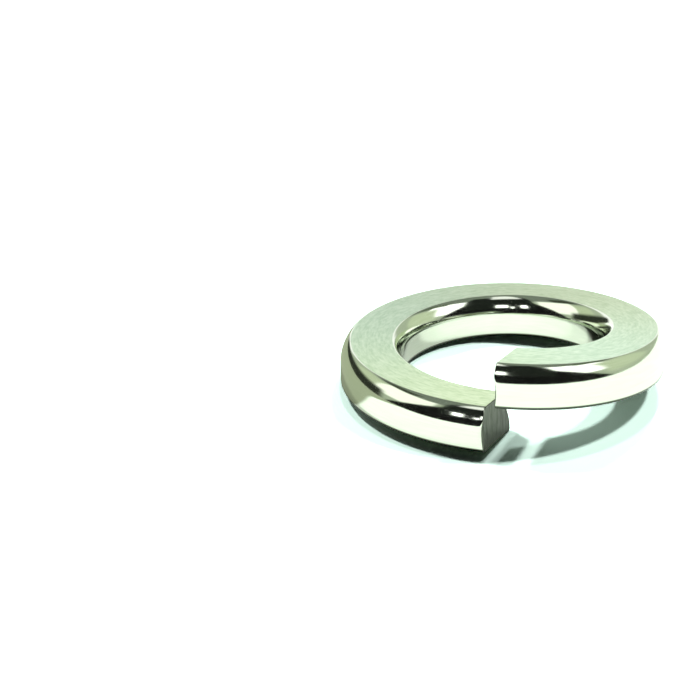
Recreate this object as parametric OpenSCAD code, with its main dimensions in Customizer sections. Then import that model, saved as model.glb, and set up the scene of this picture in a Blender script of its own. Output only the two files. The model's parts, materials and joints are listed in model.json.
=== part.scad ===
// Spring lock washer: one turn of round-edged wire wound as a left-hand helix,
// cut through at a slant and set open, so that its two ends stand at different heights.
// The bore is the Z axis, the lowest point lies at z = 0 and the gap faces -Y.

/* [Ring] */
// Diameter of the bore
bore_d = 16.2; // [8:0.1:40]
// Radial width of the wire
wire_w = 5; // [3:0.1:10]
// Thickness of the wire, from its flat underside to its flat top
wire_t = 3.5; // [2.5:0.1:8]

/* [Spring] */
// Height of the raised end above the low end, so the free height is this plus the wire's thickness
end_rise = 3.85; // [0.5:0.05:8]

/* [Cut ends] */
// Opening between the two cut faces, measured with the washer pressed flat
gap = 0.65; // [0.2:0.05:2]
// Angle of the cut away from the radial direction, seen from above
cut_skew = 22; // [0:1:35]
// Angle by which the cut leans away from upright, over the low end
cut_lean = 4; // [0:1:15]

/* [Wire edges] */
// How far the outer top edge's rounding reaches across the top
outer_reach = 0.8; // [0.2:0.05:1.5]
// How far the outer top edge's rounding reaches down the wall
outer_drop = 1.5; // [0.2:0.05:1.8]
// How far the inner top edge's rounding reaches across the top
inner_reach = 0.8; // [0.2:0.05:1.5]
// How far the inner top edge's rounding reaches down the bore
inner_drop = 1.5; // [0.2:0.05:1.8]
// Fullness of both top roundings: 2 makes a quarter of an ellipse, and less comes nearer to a bevel
top_fullness = 1.5; // [1.2:0.1:2.4]
// Radius of the outer bottom edge
outer_foot_r = 0.3; // [0.1:0.05:0.6]
// Radius of the inner bottom edge
inner_foot_r = 0.3; // [0.1:0.05:0.6]

/* [Smoothness] */
// Stations along the turn
turn_steps = 120; // [60:12:180]
// Facets on each rounded top edge
top_steps = 6; // [3:1:8]
// Facets on each rounded bottom edge
foot_steps = 3; // [2:1:4]

/* [Hidden] */

FULL_TURN = 360;
bore_r = bore_d / 2;
outer_r = bore_r + wire_w;
middle_r = (bore_r + outer_r) / 2;
free_height = end_rise + wire_t;

// The swept wire is a little wider than the ring, so that true cylinders finish both walls.
spare = 4 * outer_r * (1 - cos(180 / turn_steps));
// Height left over on each wall between its two roundings, of which the spare takes a part
outer_straight = wire_t - outer_drop - outer_foot_r;
inner_straight = wire_t - inner_drop - inner_foot_r;
spare_part = 0.1;

// A quarter of an ellipse, or of a flatter or fuller oval, about its centre, walked through the angles.
// The end that meets a wall is left out: the wall's own spare point takes its place.
ELLIPSE = 2;
function bent(share, fullness) = sign(share) * pow(abs(share), ELLIPSE / fullness);
function quarter(centre, across, down, angles, fullness = ELLIPSE) =
    [for (a = angles) centre + [across * bent(cos(a), fullness), down * bent(sin(a), fullness)]];
function fractions(first, last, count) = [for (k = [first:last]) 90 * k / count];

// Section of the wire as [radius, height] points, walked so that it winds around its middle
function section() = concat(
    // inner bottom edge, from the bore to the underside
    [[bore_r - spare, inner_foot_r + spare_part * inner_straight]],
    quarter([bore_r + inner_foot_r, inner_foot_r], inner_foot_r, inner_foot_r,
        [for (a = fractions(1, foot_steps, foot_steps)) 180 + a]),
    // outer bottom edge, from the underside to the outer wall
    quarter([outer_r - outer_foot_r, outer_foot_r], outer_foot_r, outer_foot_r,
        [for (a = fractions(0, foot_steps - 1, foot_steps)) 270 + a]),
    [[outer_r + spare, outer_foot_r + spare_part * outer_straight]],
    [[outer_r + spare, wire_t - outer_drop - spare_part * outer_straight]],
    // outer top edge, from the outer wall to the flat top
    quarter([outer_r - outer_reach, wire_t - outer_drop], outer_reach, outer_drop,
        fractions(1, top_steps, top_steps), top_fullness),
    // inner top edge, from the flat top to the bore
    quarter([bore_r + inner_reach, wire_t - inner_drop], inner_reach, inner_drop,
        [for (a = fractions(0, top_steps - 1, top_steps)) 90 + a], top_fullness),
    [[bore_r - spare, wire_t - inner_drop - spare_part * inner_straight]]
);

// Height of the wire's underside at an angle counted anticlockwise from -Y, 0 at the raised end
function rise_at(turn) = end_rise * (1 - turn / FULL_TURN);

// Angle from -Y at which a point of the section meets the cut plane. The plane passes `side`
// beside the gap's middle at the wire's centre line, is skewed from above and leans with height.
// The wire climbs a little on its way to the plane, which each further pass takes into account.
function cut_angle(p, side, passes) =
    let (climb = passes == 0 ? 0 : -end_rise * cut_angle(p, side, passes - 1) / FULL_TURN,
         reach = side + middle_r * tan(cut_skew) - (p[1] + climb - wire_t / 2) * tan(cut_lean))
    asin(reach * cos(cut_skew) / p[0]) - cut_skew;

// Half of the opening, taken along the tangent at the gap
half_gap = gap / 2 * sqrt(1 + pow(tan(cut_skew), 2) + pow(tan(cut_lean), 2));
PASSES = 3;
function raised_angle(p) = cut_angle(p, half_gap, PASSES);
function low_angle(p) = FULL_TURN + cut_angle(p, -half_gap, PASSES);

// The inner bottom corner of the low end goes furthest down the helix, and stands on z = 0.
lowest = min([for (p = section()) p[1] + rise_at(low_angle(p))]);

function station(p, turn) = [
    p[0] * sin(turn), -p[0] * cos(turn), p[1] + rise_at(turn) - lowest
];

module wire_sweep() {
    outline = section();
    count = len(outline);
    points = [
        for (i = [0:turn_steps], p = outline)
            let (from = raised_angle(p), to = low_angle(p))
            station(p, from + (to - from) * i / turn_steps)
    ];
    raised_face = [for (k = [0:count - 1]) k];
    low_face = [for (k = [count - 1:-1:0]) turn_steps * count + k];
    sides = [
        for (i = [0:turn_steps - 1], k = [0:count - 1])
            let (a = i * count + k, b = i * count + (k + 1) % count)
            each [[a, a + count, b], [b, a + count, b + count]]
    ];
    polyhedron(points, concat([raised_face], sides, [low_face]));
}

module lock_washer() {
    color([0.76, 0.79, 0.76])
    difference() {
        intersection() {
            wire_sweep();
            translate([0, 0, -wire_t])
            cylinder(h = free_height + 2 * wire_t, r = outer_r, $fn = turn_steps);
        }
        translate([0, 0, -wire_t])
        cylinder(h = free_height + 2 * wire_t, r = bore_r, $fn = turn_steps);
    }
}

lock_washer();
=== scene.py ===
"""The looks of a spring lock washer: its finely modelled wire, its finish, and the studio round it."""
import json
import math

import bpy
import numpy as np
from mathutils import Matrix, Vector
from mathutils.geometry import delaunay_2d_cdt


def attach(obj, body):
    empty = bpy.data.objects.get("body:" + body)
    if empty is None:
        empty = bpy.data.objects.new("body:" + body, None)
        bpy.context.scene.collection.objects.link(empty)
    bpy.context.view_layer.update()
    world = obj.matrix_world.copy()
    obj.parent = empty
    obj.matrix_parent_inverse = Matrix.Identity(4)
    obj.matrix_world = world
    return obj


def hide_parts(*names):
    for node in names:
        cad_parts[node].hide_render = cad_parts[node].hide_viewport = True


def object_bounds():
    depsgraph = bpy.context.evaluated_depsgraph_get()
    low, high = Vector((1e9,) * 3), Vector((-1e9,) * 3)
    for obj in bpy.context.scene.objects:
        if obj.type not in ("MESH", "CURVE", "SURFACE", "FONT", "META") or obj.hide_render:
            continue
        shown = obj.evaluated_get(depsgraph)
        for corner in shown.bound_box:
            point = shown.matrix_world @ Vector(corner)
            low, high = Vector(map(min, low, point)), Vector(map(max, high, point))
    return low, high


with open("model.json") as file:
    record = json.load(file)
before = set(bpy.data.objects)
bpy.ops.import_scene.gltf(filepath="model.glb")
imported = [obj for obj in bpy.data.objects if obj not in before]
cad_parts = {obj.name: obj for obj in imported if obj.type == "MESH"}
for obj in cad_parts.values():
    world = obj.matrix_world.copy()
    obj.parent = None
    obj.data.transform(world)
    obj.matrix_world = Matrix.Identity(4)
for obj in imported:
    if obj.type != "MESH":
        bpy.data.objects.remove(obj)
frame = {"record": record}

NODE = "lock_washer"
MM = 0.001
FULL_TURN = 2 * math.pi
CAD_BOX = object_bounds()

# The washer's sizes in millimetres. The frame gives the bore and the outside.
BORE_R = frame["record"]["mounts"][0]["dims"]["r_mm"]
OUTER_R = (CAD_BOX[1][0] - CAD_BOX[0][0]) / 2 / MM
MIDDLE_R = (BORE_R + OUTER_R) / 2
WIRE_T = 3.5
END_RISE = 3.85
GAP = 0.65
CUT_SKEW = math.radians(22)
CUT_LEAN = math.radians(4)
HALF_GAP = GAP / 2 * math.sqrt(1 + math.tan(CUT_SKEW) ** 2 + math.tan(CUT_LEAN) ** 2)
PASSES = 3

# Reach across and drop down of the wire's rounded edges
OUTER_TOP = (0.8, 1.5)
INNER_TOP = (0.8, 1.5)
OUTER_FOOT = (0.3, 0.3)
INNER_FOOT = (0.3, 0.3)
# 2 makes the top edges' roundings elliptical, and 1 would make them straight bevels
ELLIPSE = 2
TOP_FULLNESS = 1.5
# The outer top edge at the raised end, which is a little sharper, and the share of the turn that eases it
RAISED_OUTER_TOP = (0.7, 1.5)
RAISED_EASE = 0.5
# How far the raised end hangs below the even helix, and the angles between which that eases out
RAISED_SAG = 0.2
SAG_SPAN = (math.radians(100), math.radians(200))
# Points on each part of the wire's section, and stations along its turn
TOP_POINTS, FOOT_POINTS, FLAT_POINTS, WALL_POINTS = 18, 6, 14, 8
STATIONS = 460
# How far both walls lie inside those of the solid
SURFACE_SKIN = 0.002

# How far the cut ends' edges are broken: all round, and further along the outer wall and the bore
EDGE_BREAK = 0.07
WALL_BREAK = 0.3
BORE_BREAK = 0.6
# The wall's break fades inwards over a reach, and it is deepest half way up a height
WALL_BREAK_REACH, WALL_BREAK_HEIGHT = 0.3, 2.6
# The bore's break fades outwards over a reach, and it starts at a height and grows over a further one
BORE_BREAK_REACH, BORE_BREAK_START, BORE_BREAK_GROWTH = 0.5, 0.8, 1.5
# Rings of faces on a broken edge, and those next to the cut face, which look cut as well
BREAK_RINGS = 5
CUT_RINGS = BREAK_RINGS - 2
# Above this height the broken edge along the bore is worn bright instead
WORN_FROM = 0.6

# The points on the cut faces: their spacing, about how far they keep from the rim, and what counts as one
CUT_GRID = 0.11
RIM_ROOM = 0.6 * CUT_GRID
ONE_POINT = 1e-6
# The triangulation's kind of result that has faces inside the rim only
INSIDE_ONLY = 1
# The cut faces' torn grain: its depth, how far from the rim it is full, the tears' widths and sway, and the
# share of the depth that is left at the foot
SHEAR_DEPTH = 0.02
SHEAR_START = 0.25
TEAR_WIDTHS = (0.9, 0.5, 0.29, 0.17)
TEAR_SWAY = 0.12
TEAR_AT_FOOT = 0.35
RAISED_SEED, LOW_SEED = 3, 8

# The materials' places on the mesh
SATIN, POLISHED, CUT = 0, 1, 2
# Noise laid along the wire: its pace along, across and up the wire, its scale per millimetre, its detail
SATIN_RINGS = ((0.3, 1, 1), 5.0, 6.0)
SATIN_GRAIN = ((0.7, 1, 1), 9.0, 3.0)
POLISHED_LINES = ((0.08, 1, 1), 6.0, 3.0)
CUT_STREAKS = ((1, 1, 0.3), 3.0, 5.0)
NOISE_SPAN = (0.3, 0.7)
# Roughness, as a span where noise varies it, and the height of the relief in millimetres
SATIN_ROUGHNESS, SATIN_RELIEF = (0.30, 0.42), 0.004
POLISHED_ROUGHNESS, POLISHED_RELIEF = (0.08, 0.12), 0.0006
CUT_ROUGHNESS, CUT_RELIEF = 0.42, 0.015
# The flats' plating runs from a greener to a yellower tone and back: its period and a yellowest place in mm
HUE_PERIOD, HUE_WARMEST = 38, 27
SATIN_COOL = (0.58, 0.80, 0.56), (0.82, 1.0, 0.78)
SATIN_WARM = (0.62, 0.80, 0.47), (0.85, 1.0, 0.69)
# Painted sheen: the flats are painted brighter by the gap than at the back, as the light falls on them; the
# swing of that painted sheen and its middle
FLAT_PAINTED_SHEEN = (0.16, 0.84)
POLISHED_TONES = (0.76, 0.83, 0.70), (0.82, 0.88, 0.76)
# Height of the painted shade along the wire's lower edges, a dark line that stands for the shaded floor they
# mirror, half the width of its soft border, and its colour
FOOT_SHADE_HEIGHT, FOOT_SHADE_SOFT = 0.29, 0.03
FOOT_SHADE_COLOUR = (0.10, 0.12, 0.09)
# The cut ends carry painted shade at the bore's foot and painted light at the outer top, each with its span
# of tones
CUT_SHADED = (0.045, 0.055, 0.045), (0.10, 0.12, 0.095)
CUT_LIT = (0.15, 0.17, 0.14), (0.26, 0.29, 0.24)
# The radii and the heights between which that changes
CUT_SHADE_ACROSS = (BORE_R + 0.5, OUTER_R - 0.5)
CUT_SHADE_UP = (0.3, WIRE_T - 0.6)

# The floor card: its radius in mm, and its colour in itself, to the camera and in the steel's reflections
FLOOR_RADIUS = 500
FLOOR_CORNERS = 96
FLOOR_PLAIN = (0.20, 0.21, 0.20)
FLOOR_SEEN = (1.50, 1.95, 1.74)
FLOOR_MIRRORED = (1.02, 1.12, 1.00)
# At the washer's left the floor is darker in the reflections, a painted shade, beyond a radius in mm: the
# middle's azimuth from the front, half the width and the softness of that sector in degrees, and its colour
FLOOR_SHADE_FROM = OUTER_R - 1
FLOOR_SHADE_SIDE = (-112, 43, 3)
FLOOR_SHADE = (0.34, 0.38, 0.27)
# The search for the plane on which the washer rests: its first and finest slope, and the ways to tilt
FIRST_TILT, FINEST_TILT = 0.05, 1e-5
TILT_WAYS = ((1, 0), (-1, 0), (0, 1), (0, -1), (1, 1), (-1, -1), (1, -1), (-1, 1))
CENTRE_POINTS = 360

# Lamps: degrees left of straight behind, elevation, degrees across, and the share of full light each gives
LAMPS = {
    "lamp_left": (60, 57, 6, 0.40),
    "lamp_right": (-78, 60, 6, 0.43),
    "lamp_back": (-15, 51, 5, 0.19),
    "lamp_above": (-12, 82, 3, 0.14),
}

# What the steel mirrors, painted in this order: azimuth from the front towards +X and elevation of each
# patch's middle, half its width and height, how much narrower it gets for each degree up, and the softness
# of its edge, all in degrees, and its colour
STUDIO_BASE = (0.46, 0.52, 0.40)
STUDIO = [
    ("high ceiling", 0, 75, 180, 32, 0, 8, (0.20, 0.23, 0.19)),
    ("white ground behind", 184, 14, 30, 26, 0, 14, (1.15, 1.15, 1.15)),
    ("left soft box's far end", -106, 24, 20, 14, 0, 10, (0.58, 0.66, 0.46)),
    ("left soft box", -73, 27, 25, 16, 0, 4, (1.3, 1.32, 1.2)),
    ("right soft box", 70, 34, 26, 17, 0, 3, (1.8, 1.8, 1.8)),
    ("right soft box's far end", 102, 24, 22, 16, 0, 10, (0.62, 0.70, 0.50)),
    ("dark ceiling left", -98, 50, 24, 6, 0, 6, (0.05, 0.06, 0.04)),
    ("dark ceiling right", 100, 52, 28, 5, 0, 6, (0.12, 0.15, 0.10)),
    ("dark front", 0, 10, 83, 34, 1.15, 3, (0.008, 0.008, 0.008)),
    ("dark front above", 0, 42, 42, 24, 0, 3, (0.015, 0.018, 0.015)),
    ("overhead card", -12, 68, 22, 12, 0, 6, (1.1, 1.1, 1.1)),
    ("dark low left", -122, 4, 34, 12, 0, 8, (0.03, 0.035, 0.025)),
    ("small lamp left", -28, 24, 3.5, 4, 0, 3, (4, 4, 4)),
    ("smaller lamp left", -14, 21, 1.6, 2, 0, 2, (4, 4, 4)),
    ("small lamp ahead", -2, 25, 7, 4, 0, 3, (3, 3, 3)),
]
# What lights the floor besides the lamps: the bright ground behind, and a little from all round
FILL_BEHIND = (180, 28, 72, 17, 0, 8, (0.95, 0.95, 0.95))
FILL_BASE = (0.01, 0.01, 0.01)
WHITE = (1, 1, 1)

# The photograph's camera, from the washer's own origin: degrees, then millimetres
CAMERA_TURN = math.radians(-4.603)
CAMERA_DROP = math.radians(20.158)
CAMERA_ROLL = math.radians(0.305)
CAMERA_DISTANCE = 143.76
CAMERA_RIGHT = -12.324
CAMERA_UP = 3.4446
CAMERA_LENS = 90
SENSOR = 36
# Nearest and furthest that it sees, in metres
CAMERA_CLIP = (0.005, 10)


def cut_angle(r, z, side):
    """Angle from -Y at which a point of the section meets the cut plane `side` beside the gap's middle."""
    angle = np.zeros_like(r)
    for _ in range(PASSES):
        height = z - END_RISE * angle / FULL_TURN - WIRE_T / 2
        reach = side + MIDDLE_R * math.tan(CUT_SKEW) - height * math.tan(CUT_LEAN)
        angle = np.arcsin(reach * math.cos(CUT_SKEW) / r) - CUT_SKEW
    return angle


def raised_angle(r, z):
    return cut_angle(r, z, HALF_GAP)


def low_angle(r, z):
    return FULL_TURN + cut_angle(r, z, -HALF_GAP)


def place(r, z, turn):
    """Where points of the section lie at angles counted anticlockwise from -Y, on a wire yet to be stood."""
    share = np.clip((SAG_SPAN[1] - turn) / (SAG_SPAN[1] - SAG_SPAN[0]), 0, 1)
    climb = END_RISE * (1 - turn / FULL_TURN) - RAISED_SAG * share ** 2 * (3 - 2 * share)
    return np.stack([r * np.sin(turn), -r * np.cos(turn), z + climb], -1)


def quarter(centre, size, first, count, fullness=ELLIPSE):
    """Quarter of an ellipse, or of a flatter oval, from an angle in degrees, without its last point."""
    turn = np.radians(first + 90 * np.arange(count) / count)
    power = ELLIPSE / fullness
    across, rise = (np.sign(a) * np.abs(a) ** power for a in (np.cos(turn), np.sin(turn)))
    return np.stack([centre[0] + size[0] * across, centre[1] + size[1] * rise], -1)


def straight(start, end, count):
    """Points from start towards end, without the last."""
    share = (np.arange(count) / count)[:, None]
    return np.array(start) * (1 - share) + np.array(end) * share


def section(outer_top=OUTER_TOP):
    """Outline of the wire as (radius, height), anticlockwise from the bore's foot, and its materials."""
    inner, outer = BORE_R + SURFACE_SKIN, OUTER_R - SURFACE_SKIN
    foot_in = (inner + INNER_FOOT[0], INNER_FOOT[1])
    foot_out = (outer - OUTER_FOOT[0], OUTER_FOOT[1])
    top_out = (outer - outer_top[0], WIRE_T - outer_top[1])
    top_in = (inner + INNER_TOP[0], WIRE_T - INNER_TOP[1])
    parts = [
        (POLISHED, quarter(foot_in, INNER_FOOT, 180, FOOT_POINTS)),
        (SATIN, straight((foot_in[0], 0), (foot_out[0], 0), FLAT_POINTS)),
        (POLISHED, quarter(foot_out, OUTER_FOOT, 270, FOOT_POINTS)),
        (POLISHED, straight((outer, foot_out[1]), (outer, top_out[1]), WALL_POINTS)),
        (POLISHED, quarter(top_out, outer_top, 0, TOP_POINTS, TOP_FULLNESS)),
        (SATIN, straight((top_out[0], WIRE_T), (top_in[0], WIRE_T), FLAT_POINTS)),
        (POLISHED, quarter(top_in, INNER_TOP, 90, TOP_POINTS, TOP_FULLNESS)),
        (POLISHED, straight((inner, top_in[1]), (inner, foot_in[1]), WALL_POINTS)),
    ]
    slots = [slot for slot, points in parts for _ in points]
    return np.concatenate([points for _, points in parts]), slots


def edge_breaks(outline):
    """How far the cut's edge is broken at each point of the outline."""
    r, z = outline[:, 0], outline[:, 1]
    wall = np.clip((r - OUTER_R + WALL_BREAK_REACH) / WALL_BREAK_REACH, 0, 1)
    wall = wall * np.sin(math.pi * np.clip(z / WALL_BREAK_HEIGHT, 0, 1))
    bore = np.clip((BORE_R + BORE_BREAK_REACH - r) / BORE_BREAK_REACH, 0, 1)
    bore = bore * np.clip((z - BORE_BREAK_START) / BORE_BREAK_GROWTH, 0, 1)
    return EDGE_BREAK + WALL_BREAK * wall + BORE_BREAK * bore


def inset(outline, depth):
    """The outline drawn in towards the wire's core by a depth of its own at each point."""
    core_r = np.clip(outline[:, 0], BORE_R + WIRE_T / 2, OUTER_R - WIRE_T / 2)
    way = np.stack([core_r, np.full(len(outline), WIRE_T / 2)], -1) - outline
    return outline + way * (depth / np.linalg.norm(way, axis=1))[:, None]


class Growing:
    """Points, wire coordinates, faces and materials of a mesh while it grows."""

    def __init__(self):
        self.points, self.wire, self.faces, self.slots = [], [], [], []
        self.count = 0

    def add(self, outline, turn):
        """Adds a row of points and returns its first index."""
        first = self.count
        self.points.append(place(outline[:, 0], outline[:, 1], turn))
        self.wire.append(np.stack([MIDDLE_R * turn, outline[:, 0], outline[:, 1]], -1))
        self.count += len(outline)
        return first

    def band(self, row, following, slots):
        """Joins two rows of equal length all round the section."""
        count = len(slots)
        for k, slot in enumerate(slots):
            after = (k + 1) % count
            self.faces.append((row + k, following + k, following + after, row + after))
            self.slots.append(slot)


def broken_rows(outline, angle_of, into):
    """Rows of a cut end from its full outline to its flat face, with the cut's edge rounded over."""
    reach = edge_breaks(outline)
    rows = []
    for k in range(BREAK_RINGS + 1):
        share = math.pi / 2 * k / BREAK_RINGS
        ring = inset(outline, reach * (1 - math.cos(share)))
        turn = angle_of(ring[:, 0], ring[:, 1]) + into * reach * (1 - math.sin(share)) / ring[:, 0]
        rows.append((ring, turn))
    return rows


def shear_relief(r, z, seed):
    """Depth of a sheared face at a point: upright tears that fade towards its foot."""
    rng = np.random.default_rng(seed)
    depth = np.zeros_like(r)
    for width in TEAR_WIDTHS:
        shift, sway = rng.uniform(0, FULL_TURN, 2)
        swayed = r + TEAR_SWAY * np.sin(z + sway)
        depth += width * (0.5 + 0.5 * np.sin(FULL_TURN * swayed / width + shift))
    return SHEAR_DEPTH * depth * (TEAR_AT_FOOT + (1 - TEAR_AT_FOOT) * np.clip(z / WIRE_T, 0, 1))


def within(point, loop):
    """True if a point lies inside a closed outline."""
    x, y = point
    a, b = loop, np.roll(loop, -1, 0)
    crosses = (a[:, 1] > y) != (b[:, 1] > y)
    run = np.where(crosses, b[:, 1] - a[:, 1], 1)
    at = a[:, 0] + (y - a[:, 1]) * (b[:, 0] - a[:, 0]) / run
    return bool((crosses & (x < at)).sum() % 2)


def grid_within(rim):
    """Evenly staggered points inside a rim, each with some room from it."""
    rows_r = np.arange(BORE_R, OUTER_R, CUT_GRID)
    rows_z = np.arange(0, WIRE_T, CUT_GRID)
    grid = [(a, b + (i % 2) * CUT_GRID / 2) for i, a in enumerate(rows_r) for b in rows_z]
    core = inset(rim, np.full(len(rim), RIM_ROOM))
    return [Vector(p) for p in grid if within(p, core)]


def close_end(mesh, row, rim, angle_of, into, seed):
    """Fills a cut end inside its last ring with a fine face of sheared metal."""
    count = len(rim)
    loop = [(k, (k + 1) % count) for k in range(count)]
    flat = [Vector(p) for p in rim] + grid_within(rim)
    made = delaunay_2d_cdt(flat, loop, [], INSIDE_ONLY, ONE_POINT)
    verts, faces, source = made[0], made[2], made[3]
    fresh = np.array([tuple(p) for p in verts])
    room = np.array([np.hypot(*(rim - p).T).min() for p in fresh])
    depth = shear_relief(fresh[:, 0], fresh[:, 1], seed) * np.clip(room / SHEAR_START, 0, 1)
    turn = angle_of(fresh[:, 0], fresh[:, 1]) + into * depth / fresh[:, 0]
    first = mesh.add(fresh, turn)
    index = [row + s[0] if s and s[0] < count else first + k for k, s in enumerate(source)]
    for corners in faces:
        corners = [index[k] for k in corners]
        mesh.faces.append(corners[::-1] if into > 0 else corners)
        mesh.slots.append(CUT)


def grow_washer():
    """The whole washer as lists: raised end, one turn of wire, low end."""
    outline, slots = section()
    worn = (outline[:, 0] < BORE_R + BORE_BREAK_REACH) & (outline[:, 1] > WORN_FROM)
    end_slots = [POLISHED if bright else CUT for bright in worn]
    sharper = section(RAISED_OUTER_TOP)[0]
    mesh = Growing()
    raised = broken_rows(sharper, raised_angle, 1)
    low = broken_rows(outline, low_angle, -1)
    start, end = raised[0][1], low[0][1]
    rows = raised[::-1]
    for share in np.arange(1, STATIONS) / STATIONS:
        eased = min(share / RAISED_EASE, 1) ** 2
        rows.append((sharper + (outline - sharper) * eased, start + (end - start) * share))
    rows += low
    firsts = [mesh.add(*row) for row in rows]
    bands = len(rows) - 1
    for k, (row, following) in enumerate(zip(firsts, firsts[1:])):
        from_end = min(k, bands - 1 - k)
        mesh.band(row, following, end_slots if from_end < CUT_RINGS else slots)
    close_end(mesh, firsts[0], rows[0][0], raised_angle, 1, RAISED_SEED)
    close_end(mesh, firsts[-1], rows[-1][0], low_angle, -1, LOW_SEED)
    return mesh


def washer_piece():
    """The mesh of the washer, stood with its lowest point on z = 0."""
    grown = grow_washer()
    points = np.concatenate(grown.points)
    points[:, 2] -= points[:, 2].min()
    mesh = bpy.data.meshes.new("washer")
    mesh.from_pydata((points * MM).tolist(), [], grown.faces)
    mesh.polygons.foreach_set("material_index", grown.slots)
    mesh.polygons.foreach_set("use_smooth", [True] * len(grown.faces))
    wire = mesh.attributes.new("wire", "FLOAT_VECTOR", "POINT")
    wire.data.foreach_set("vector", np.concatenate(grown.wire).ravel())
    mesh.update()
    piece = bpy.data.objects.new("washer_wire", mesh)
    bpy.context.scene.collection.objects.link(piece)
    for material in (satin_steel(), polished_steel(), cut_steel()):
        mesh.materials.append(material)
    return piece


class Nodes:
    """Short way to add and link shader nodes."""

    def __init__(self, tree):
        self.tree = tree
        tree.nodes.clear()

    def add(self, kind, values=(), **settings):
        """Adds a node. A value that is a socket is linked, and any other is set."""
        node = self.tree.nodes.new(kind)
        for key, value in settings.items():
            setattr(node, key, value)
        for key, value in dict(values).items():
            if isinstance(value, bpy.types.NodeSocket):
                self.tree.links.new(value, node.inputs[key])
            else:
                node.inputs[key].default_value = value
        return node


def calculate(nodes, operation, *values, clamp=False):
    """Result of one sum on plain values and sockets."""
    values = dict(enumerate(values))
    return nodes.add("ShaderNodeMath", values, operation=operation, use_clamp=clamp).outputs[0]


def swing(nodes, angle, by, about):
    """The cosine of an angle in radians, made to swing by one value about another."""
    return calculate(nodes, "MULTIPLY_ADD", calculate(nodes, "COSINE", angle), by, about)


def spread(nodes, source, low, high, span=NOISE_SPAN):
    """Maps a value from one span, by default that of a noise, to another, and holds it there."""
    values = {"Value": source, "From Min": span[0], "From Max": span[1], "To Min": low, "To Max": high}
    return nodes.add("ShaderNodeMapRange", values).outputs["Result"]


def blend(nodes, share, first, second):
    """Mixes two colours, each of which is plain or comes from a socket."""
    mix = nodes.add("ShaderNodeMix", data_type="RGBA")
    nodes.tree.links.new(share, mix.inputs[0])
    for socket, colour in ((mix.inputs[6], first), (mix.inputs[7], second)):
        if isinstance(colour, bpy.types.NodeSocket):
            nodes.tree.links.new(colour, socket)
        else:
            socket.default_value = (*colour, 1)
    return mix.outputs[2]


def soft_window(nodes, offset, half, soft):
    """1 where an angle's offset is within half, falling to 0 over the softness."""
    past = calculate(nodes, "SUBTRACT", calculate(nodes, "ABSOLUTE", offset), half)
    values = {"Value": past, "From Min": -soft / 2, "From Max": soft / 2, "To Min": 1, "To Max": 0}
    return nodes.add("ShaderNodeMapRange", values, interpolation_type="SMOOTHSTEP").outputs["Result"]


def azimuth_of(nodes, parts):
    """Azimuth in degrees of a place or direction, from the front (-Y) towards +X."""
    front = calculate(nodes, "MULTIPLY", parts["Y"], -1)
    return calculate(nodes, "DEGREES", calculate(nodes, "ARCTAN2", parts["X"], front))


def light_path(nodes, *kinds):
    """The light path's value for one kind of ray, or the greatest of several."""
    path = nodes.add("ShaderNodeLightPath")
    share = path.outputs[kinds[0]]
    for kind in kinds[1:]:
        share = calculate(nodes, "MAXIMUM", share, path.outputs[kind])
    return share


def seen_straight(nodes):
    """1 for what the camera sees, through clear things too."""
    return light_path(nodes, "Is Camera Ray", "Is Transmission Ray")


def mirrored_by_steel(nodes):
    """1 for a glossy ray that no dull surface has scattered on its way."""
    mirrored = light_path(nodes, "Is Glossy Ray")
    return calculate(nodes, "SUBTRACT", mirrored, light_path(nodes, "Diffuse Depth"), clamp=True)


def new_material(name):
    material = bpy.data.materials.new(name)
    material.use_nodes = True
    return material, Nodes(material.node_tree)


def wire_place(nodes):
    """A point's own place on the wire in mm: its run along X, its radius along Y and its height along Z."""
    return nodes.add("ShaderNodeAttribute", attribute_name="wire").outputs["Vector"]


def wire_part(nodes, part):
    """One of the parts of a point's own place on the wire."""
    return nodes.add("ShaderNodeSeparateXYZ", {0: wire_place(nodes)}).outputs[part]


def wire_noise(nodes, pace, scale, detail):
    """Noise that is laid along the wire."""
    laid = nodes.add("ShaderNodeVectorMath", {0: wire_place(nodes), 1: pace}, operation="MULTIPLY")
    values = {"Vector": laid.outputs[0], "Scale": scale, "Detail": detail}
    return nodes.add("ShaderNodeTexNoise", values).outputs["Fac"]


def steel(nodes, colour, roughness, relief, height):
    """Metal shader with its colour, its roughness, and a relief of a height in millimetres."""
    values = {"Height": relief, "Distance": height * MM, "Strength": 1.0}
    bump = nodes.add("ShaderNodeBump", values)
    shader = nodes.add("ShaderNodeBsdfPrincipled", {
        "Base Color": colour,
        "Metallic": 1.0,
        "Roughness": roughness,
        "Normal": bump.outputs["Normal"],
    })
    nodes.add("ShaderNodeOutputMaterial", {"Surface": shader.outputs[0]})


def satin_steel():
    """The flat faces: pressed and tumbled, with marks that run round with the wire, and a painted sheen that
    is brighter by the gap.
    """
    material, nodes = new_material("satin_steel")
    rings = spread(nodes, wire_noise(nodes, *SATIN_RINGS), 0, 1)
    grain = wire_noise(nodes, *SATIN_GRAIN)
    run = wire_part(nodes, "X")
    from_warmest = calculate(nodes, "SUBTRACT", run, HUE_WARMEST)
    warmth = swing(nodes, calculate(nodes, "MULTIPLY", from_warmest, FULL_TURN / HUE_PERIOD), 0.5, 0.5)
    colour = blend(nodes, warmth, blend(nodes, rings, *SATIN_COOL), blend(nodes, rings, *SATIN_WARM))
    # Painted sheen: the flats' colour is scaled brighter by the gap and darker at the back
    painted_sheen = swing(nodes, calculate(nodes, "DIVIDE", run, MIDDLE_R), *FLAT_PAINTED_SHEEN)
    sheened_colour = nodes.add("ShaderNodeVectorMath", {0: colour, "Scale": painted_sheen}, operation="SCALE").outputs[0]
    steel(nodes, sheened_colour, spread(nodes, grain, *SATIN_ROUGHNESS), grain, SATIN_RELIEF)
    return material


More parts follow.
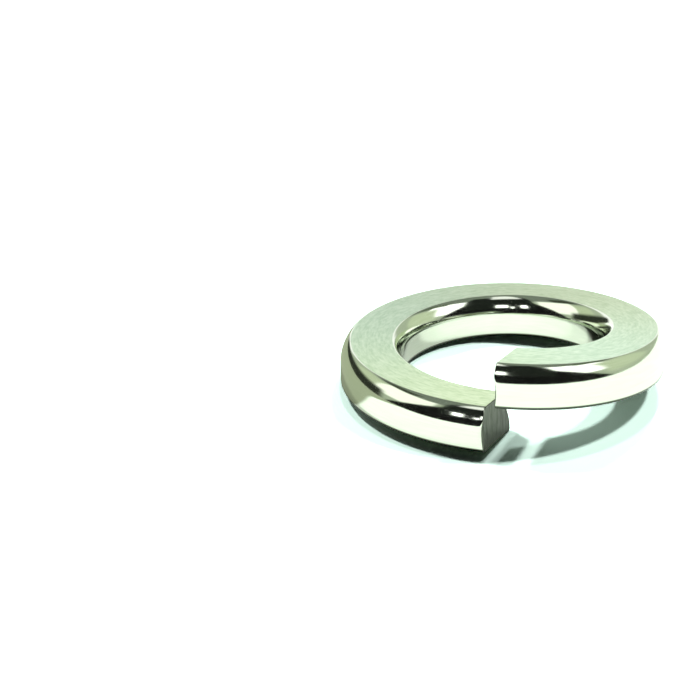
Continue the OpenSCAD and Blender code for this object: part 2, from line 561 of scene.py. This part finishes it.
def polished_steel():
    """The walls and rounded edges, drawn smooth, with painted shade, a dark line, along the lower edges."""
    material, nodes = new_material("polished_steel")
    lines = wire_noise(nodes, *POLISHED_LINES)
    unshaded = blend(nodes, spread(nodes, lines, 0, 1), *POLISHED_TONES)
    # Painted shade: a dark line along the lower edges, where they mirror the shaded floor beneath
    above = spread(nodes, wire_part(nodes, "Z"), 0, 1, (FOOT_SHADE_HEIGHT - FOOT_SHADE_SOFT, FOOT_SHADE_HEIGHT + FOOT_SHADE_SOFT))
    colour = blend(nodes, above, FOOT_SHADE_COLOUR, unshaded)
    steel(nodes, colour, spread(nodes, lines, *POLISHED_ROUGHNESS), lines, POLISHED_RELIEF)
    return material


def cut_steel():
    """The cut ends: torn by the shear, dull and darker, with painted shade at the bore's foot and painted
    light at the outer top.
    """
    material, nodes = new_material("cut_steel")
    streaks = wire_noise(nodes, *CUT_STREAKS)
    outward = spread(nodes, wire_part(nodes, "Y"), 0, 1, CUT_SHADE_ACROSS)
    upward = spread(nodes, wire_part(nodes, "Z"), 0, 1, CUT_SHADE_UP)
    # Painted light: the share that runs from the painted shade at the foot to the painted light at the outer
    # top
    height = calculate(nodes, "MULTIPLY_ADD", upward, 0.5, calculate(nodes, "MULTIPLY", outward, 0.5))
    torn = spread(nodes, streaks, 0, 1)
    colour = blend(nodes, height, blend(nodes, torn, *CUT_SHADED), blend(nodes, torn, *CUT_LIT))
    steel(nodes, colour, CUT_ROUGHNESS, streaks, CUT_RELIEF)
    return material


def floor_reflected(nodes):
    """The floor's colour in the steel's reflections: white, but with painted shade at the washer's left."""
    position = nodes.add("ShaderNodeNewGeometry").outputs["Position"]
    spot = nodes.add("ShaderNodeSeparateXYZ", {0: position}).outputs
    middle, half, soft = FLOOR_SHADE_SIDE
    aside = calculate(nodes, "SUBTRACT", azimuth_of(nodes, spot), middle)
    squares = [calculate(nodes, "POWER", spot[axis], 2) for axis in "XY"]
    away = calculate(nodes, "SQRT", calculate(nodes, "ADD", *squares))
    outside = calculate(nodes, "GREATER_THAN", away, FLOOR_SHADE_FROM * MM)
    # Painted shade in the reflections: a darker sector of floor at the washer's left
    dark = calculate(nodes, "MULTIPLY", outside, soft_window(nodes, aside, half, soft))
    return blend(nodes, dark, FLOOR_MIRRORED, FLOOR_SHADE)


def floor_material():
    """Grey card that is white to the camera and mirrored white, but for the shadows on it."""
    material, nodes = new_material("floor_card")
    unseen = blend(nodes, mirrored_by_steel(nodes), FLOOR_PLAIN, floor_reflected(nodes))
    colour = blend(nodes, seen_straight(nodes), unseen, FLOOR_SEEN)
    shader = nodes.add("ShaderNodeBsdfDiffuse", {"Color": colour})
    nodes.add("ShaderNodeOutputMaterial", {"Surface": shader.outputs[0]})
    return material


def stand(points, centre, slope):
    """Height of a centre above a sloping plane that just touches the points from below, and its level."""
    level = (points[:, 2] - points[:, :2] @ slope).min()
    return (centre[2] - centre[:2] @ slope - level) / math.sqrt(1 + slope @ slope), level


def rest_plane(points, centre):
    """Slopes along X and Y and level of the plane on which the points settle, with their centre lowest."""
    slope, step = np.zeros(2), FIRST_TILT
    ways = [np.array(way) for way in TILT_WAYS]
    while step > FINEST_TILT:
        best = min((slope + step * way for way in ways), key=lambda tried: stand(points, centre, tried)[0])
        if stand(points, centre, best)[0] < stand(points, centre, slope)[0]:
            slope = best
        else:
            step /= 2
    return slope, stand(points, centre, slope)[1]


def make_floor(piece):
    """A card that lies on the plane on which the washer comes to rest."""
    points = np.array([v.co for v in piece.data.vertices]) / MM
    turn = np.linspace(0, FULL_TURN, CENTRE_POINTS, endpoint=False)
    core = place(np.full(CENTRE_POINTS, MIDDLE_R), np.full(CENTRE_POINTS, WIRE_T / 2), turn)
    slope, level = rest_plane(points, core.mean(0))
    ring = np.linspace(0, FULL_TURN, FLOOR_CORNERS, endpoint=False)
    edge = FLOOR_RADIUS * np.stack([np.cos(ring), np.sin(ring)], -1)
    corners = np.column_stack([edge, edge @ slope + level]) * MM
    mesh = bpy.data.meshes.new("floor")
    mesh.from_pydata(corners.tolist(), [], [range(len(corners))])
    mesh.materials.append(floor_material())
    floor = bpy.data.objects.new("floor", mesh)
    bpy.context.scene.collection.objects.link(floor)


def direction(azimuth, elevation):
    """Unit vector to a place so many degrees left of straight behind and above the horizon."""
    a, e = math.radians(azimuth), math.radians(elevation)
    return Vector((-math.sin(a) * math.cos(e), math.cos(a) * math.cos(e), math.sin(e)))


def make_lamp(name, azimuth, elevation, across, share):
    """A distant lamp that gives a level floor its share of full light, and that the steel doesn't mirror."""
    data = bpy.data.lights.new(name, "SUN")
    data.angle = math.radians(across)
    data.energy = share * math.pi / math.sin(math.radians(elevation))
    lamp = bpy.data.objects.new(name, data)
    lamp.rotation_euler = direction(azimuth, elevation).to_track_quat("Z", "Y").to_euler()
    lamp.visible_glossy = False
    bpy.context.scene.collection.objects.link(lamp)


def painted(nodes, base, patches):
    """Colour in each direction: the base with the patches painted over it in turn."""
    way = nodes.add("ShaderNodeTexCoord").outputs["Generated"]
    parts = nodes.add("ShaderNodeSeparateXYZ", {0: way}).outputs
    azimuth = azimuth_of(nodes, parts)
    elevation = calculate(nodes, "DEGREES", calculate(nodes, "ARCSINE", parts["Z"]))
    over_horizon = calculate(nodes, "MAXIMUM", elevation, 0)
    colour = base
    for side, rise, wide, high, lean, soft, tint in patches:
        aside = calculate(nodes, "WRAP", calculate(nodes, "SUBTRACT", azimuth, side), 180, -180)
        above = calculate(nodes, "SUBTRACT", elevation, rise)
        half = calculate(nodes, "SUBTRACT", wide, calculate(nodes, "MULTIPLY", lean, over_horizon))
        across, up = soft_window(nodes, aside, half, soft), soft_window(nodes, above, high, soft)
        colour = blend(nodes, calculate(nodes, "MULTIPLY", across, up), colour, tint)
    return colour


def make_world():
    """White ground to the camera, the studio in the steel's reflections, and the fill for all else."""
    world = bpy.data.worlds.new("studio")
    world.use_nodes = True
    bpy.context.scene.world = world
    nodes = Nodes(world.node_tree)
    studio = painted(nodes, STUDIO_BASE, [patch[1:] for patch in STUDIO])
    fill = painted(nodes, FILL_BASE, [FILL_BEHIND])
    unseen = blend(nodes, mirrored_by_steel(nodes), fill, studio)
    colour = blend(nodes, seen_straight(nodes), unseen, WHITE)
    shader = nodes.add("ShaderNodeBackground", {"Color": colour})
    nodes.add("ShaderNodeOutputWorld", {"Surface": shader.outputs[0]})


def make_camera():
    """The photograph's camera: its axis runs left of the washer, as in the picture."""
    turn, drop = CAMERA_TURN, CAMERA_DROP
    ahead = Vector((math.sin(turn) * math.cos(drop), math.cos(turn) * math.cos(drop), -math.sin(drop)))
    right = Vector((math.cos(turn), -math.sin(turn), 0))
    up = right.cross(ahead)
    right, up = (
        math.cos(CAMERA_ROLL) * right + math.sin(CAMERA_ROLL) * up,
        math.cos(CAMERA_ROLL) * up - math.sin(CAMERA_ROLL) * right,
    )
    place_at = right * CAMERA_RIGHT + up * CAMERA_UP - ahead * CAMERA_DISTANCE
    data = bpy.data.cameras.new("camera")
    data.lens, data.sensor_width = CAMERA_LENS, SENSOR
    data.clip_start, data.clip_end = CAMERA_CLIP
    camera = bpy.data.objects.new("camera", data)
    turned = Matrix((right, up, -ahead)).transposed()
    camera.matrix_world = Matrix.Translation(place_at * MM) @ turned.to_4x4()
    bpy.context.scene.collection.objects.link(camera)
    bpy.context.scene.camera = camera


bpy.context.scene.view_settings.view_transform = "Standard"
make_camera()
washer = washer_piece()
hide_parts(NODE)
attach(washer, "root")
make_floor(washer)
for lamp_name, lamp in LAMPS.items():
    make_lamp(lamp_name, *lamp)
make_world()
